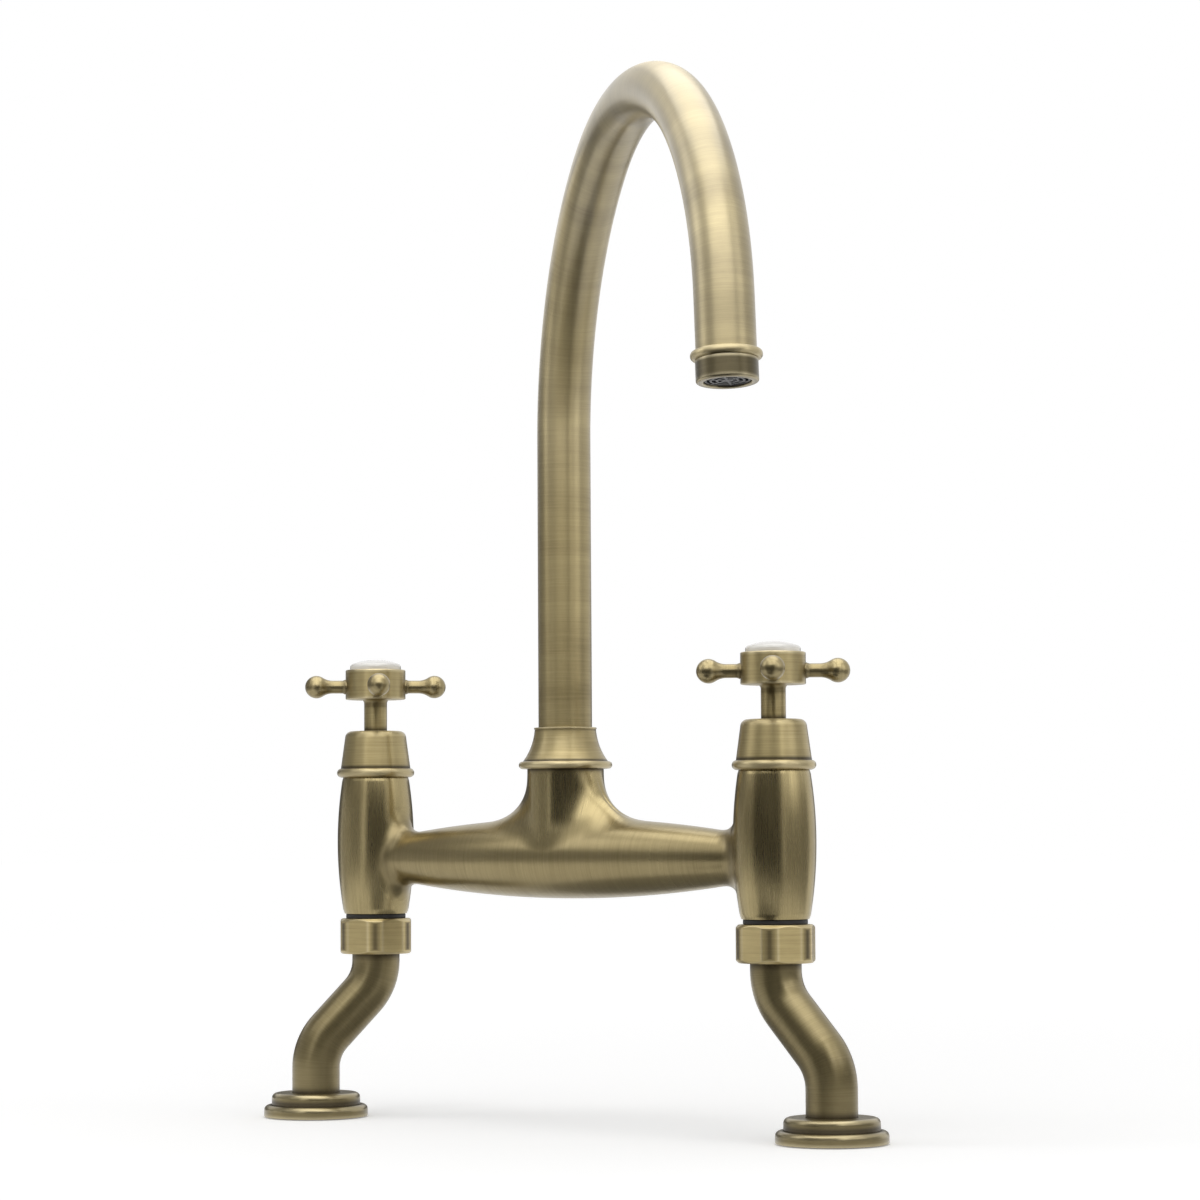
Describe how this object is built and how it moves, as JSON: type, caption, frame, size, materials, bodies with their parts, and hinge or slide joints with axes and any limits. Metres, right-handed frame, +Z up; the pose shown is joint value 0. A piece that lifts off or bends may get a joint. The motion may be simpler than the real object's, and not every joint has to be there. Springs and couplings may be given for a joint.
{
  "type": "kitchen bridge mixer tap",
  "caption": "Deck-mounted bridge kitchen tap with cross handles, cranked legs and a swivelling swan-neck spout, in brushed antique brass with white ceramic buttons.",
  "frame": {"origin": "on the deck plane under the spout's axis, midway between the two valve barrels", "axes": "+Z up out of the deck, X along the bridge to the user's right, -Y towards the user"},
  "size_m": [0.3237, 0.1528, 0.4744],
  "materials": {
    "antique_brass": "brushed antique satin",
    "bare_brass": "as machined",
    "white_glaze": "gloss glaze",
    "valve_ceramic": "lapped",
    "black_rubber": "matt",
    "white_plastic": "matt",
    "dark_plastic": "moulded",
    "steel": "plain"
  },
  "bodies": {
    "tap_body": {"bridge_body": "antique_brass", "spout_collar": "antique_brass", "spout_slip_ring": "white_plastic", "left_union_nut": "antique_brass", "left_union_seal": "black_rubber", "left_union_washer": "black_rubber", "left_valve_cartridge": "bare_brass", "left_seat_seal": "black_rubber", "left_fixed_disc": "valve_ceramic", "left_valve_cover": "antique_brass", "right_union_nut": "antique_brass", "right_union_seal": "black_rubber", "right_union_washer": "black_rubber", "right_valve_cartridge": "bare_brass", "right_seat_seal": "black_rubber", "right_fixed_disc": "valve_ceramic", "right_valve_cover": "antique_brass"},
    "spout": {"spout_tube": "antique_brass", "spout_spigot": "bare_brass", "spout_rings": "black_rubber", "outlet_ferrule": "antique_brass", "aerator_housing": "antique_brass", "aerator_washer": "black_rubber", "aerator_insert": "dark_plastic", "aerator_screen": "steel"},
    "left_handle": {"left_spindle": "bare_brass", "left_spindle_ring": "black_rubber", "left_spindle_clip": "steel", "left_moving_disc": "valve_ceramic", "left_handle_head": "antique_brass", "left_handle_screw": "steel", "left_index_cap": "white_glaze", "left_handle_arm_1": "antique_brass", "left_handle_arm_2": "antique_brass", "left_handle_arm_3": "antique_brass", "left_handle_arm_4": "antique_brass"},
    "right_handle": {"right_spindle": "bare_brass", "right_spindle_ring": "black_rubber", "right_spindle_clip": "steel", "right_moving_disc": "valve_ceramic", "right_handle_head": "antique_brass", "right_handle_screw": "steel", "right_index_cap": "white_glaze", "right_handle_arm_1": "antique_brass", "right_handle_arm_2": "antique_brass", "right_handle_arm_3": "antique_brass", "right_handle_arm_4": "antique_brass"},
    "left_leg_set": {"left_leg": "antique_brass", "left_foot": "antique_brass", "left_deck_gasket": "black_rubber", "left_back_washer": "steel", "left_back_nut": "bare_brass"},
    "right_leg_set": {"right_leg": "antique_brass", "right_foot": "antique_brass", "right_deck_gasket": "black_rubber", "right_back_washer": "steel", "right_back_nut": "bare_brass"}
  },
  "joints": [
    {"name": "spout_swivel", "type": "hinge", "parent": "tap_body", "child": "spout", "pos_m": [0, 0, 0.15], "axis": [0, 0, 1], "continuous": true},
    {"name": "left_handle_turn", "type": "hinge", "parent": "tap_body", "child": "left_handle", "pos_m": [-0.105, 0, 0.18], "axis": [0, 0, 1], "range_deg": [0, 90]},
    {"name": "right_handle_turn", "type": "hinge", "parent": "tap_body", "child": "right_handle", "pos_m": [0.105, 0, 0.18], "axis": [0, 0, 1], "range_deg": [-90, 0]},
    {"name": "left_leg_swivel", "type": "hinge", "parent": "tap_body", "child": "left_leg_set", "pos_m": [-0.105, 0, 0.07], "axis": [0, 0, 1], "continuous": true},
    {"name": "right_leg_swivel", "type": "hinge", "parent": "tap_body", "child": "right_leg_set", "pos_m": [0.105, 0, 0.07], "axis": [0, 0, 1], "continuous": true}
  ]
}
